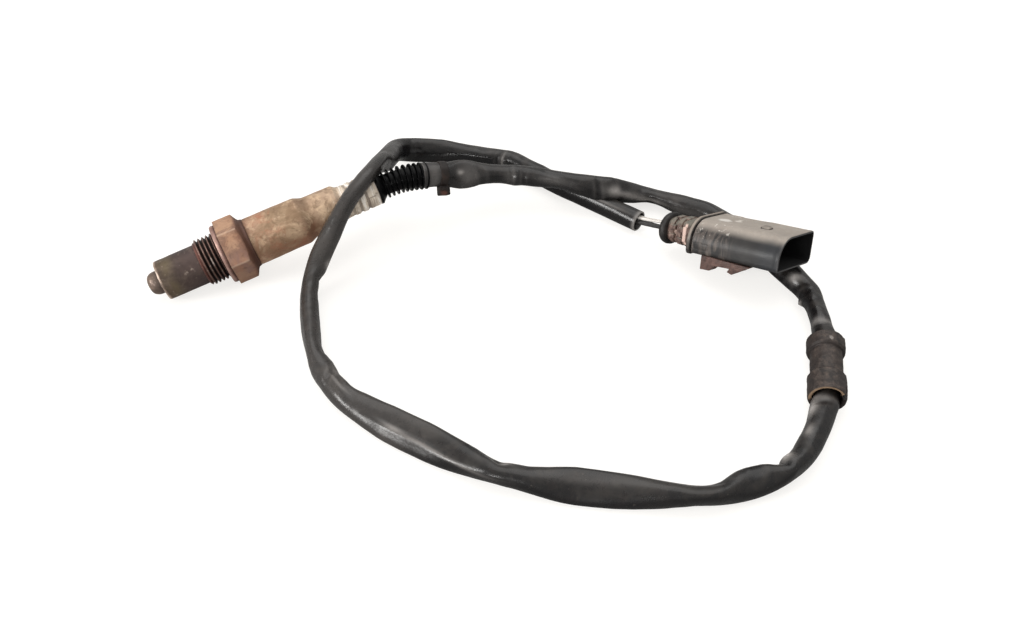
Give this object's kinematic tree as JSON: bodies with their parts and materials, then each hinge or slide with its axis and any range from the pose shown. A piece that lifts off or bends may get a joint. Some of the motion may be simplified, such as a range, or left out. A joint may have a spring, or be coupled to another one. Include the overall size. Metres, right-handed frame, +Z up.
{
  "type": "oxygen sensor",
  "caption": "Heated exhaust oxygen sensor: threaded steel probe with gasket and hexagon, ribbed rubber boot, sleeved cable with a clip, and a flat connector.",
  "frame": {"origin": "on the surface it lies on, under the middle of the probe and boot's footprint", "axes": "+X in plan from the probe's tip towards its cable end, +Z up, +Y to the left of +X; the probe rises 10.4 degrees towards its cable end"},
  "size_m": [0.2291, 0.2198, 0.0464],
  "materials": {
    "bend_protection_boot": "matt, dusty",
    "black_lead": "satin",
    "cable_sleeve": "satin, dusty",
    "cable_tie": "worn",
    "ceramic_sensing_element": "fired",
    "connector_end_seal": "matt",
    "connector_housing": "satin, dusty",
    "contact_holder": "fired",
    "contact_springs": "stamped",
    "grey_lead": "satin",
    "harness_clip": "worn, dusty",
    "holder_spring_ring": "stamped",
    "inner_protection_tube": "heat-browned",
    "lead_grommet": "matt",
    "lower_ceramic_insulator": "fired",
    "mounting_slide": "worn, dirty",
    "outer_protection_tube": "heat-browned",
    "powder_packing": "pressed powder",
    "protective_sleeve": "worn, mottled tan",
    "sealing_gasket": "compressed, tinted",
    "secondary_lock": "satin",
    "sensor_housing": "worn, rust tinted",
    "terminal_pins": "plated",
    "terminal_retainer": "dirty",
    "upper_ceramic_insulator": "fired",
    "white_lead_a": "satin",
    "white_lead_b": "satin"
  },
  "bodies": {
    "root": {"bend_protection_boot": "bend_protection_boot", "black_lead": "black_lead", "cable_sleeve": "cable_sleeve", "cable_tie": "cable_tie", "ceramic_sensing_element": "ceramic_sensing_element", "connector_end_seal": "connector_end_seal", "connector_housing": "connector_housing", "contact_holder": "contact_holder", "contact_springs": "contact_springs", "grey_lead": "grey_lead", "harness_clip": "harness_clip", "holder_spring_ring": "holder_spring_ring", "inner_protection_tube": "inner_protection_tube", "lead_grommet": "lead_grommet", "lower_ceramic_insulator": "lower_ceramic_insulator", "mounting_slide": "mounting_slide", "outer_protection_tube": "outer_protection_tube", "powder_packing": "powder_packing", "protective_sleeve": "protective_sleeve", "sealing_gasket": "sealing_gasket", "secondary_lock": "secondary_lock", "sensor_housing": "sensor_housing", "terminal_pins": "terminal_pins", "terminal_retainer": "terminal_retainer", "upper_ceramic_insulator": "upper_ceramic_insulator", "white_lead_a": "white_lead_a", "white_lead_b": "white_lead_b"}
  },
  "joints": []
}
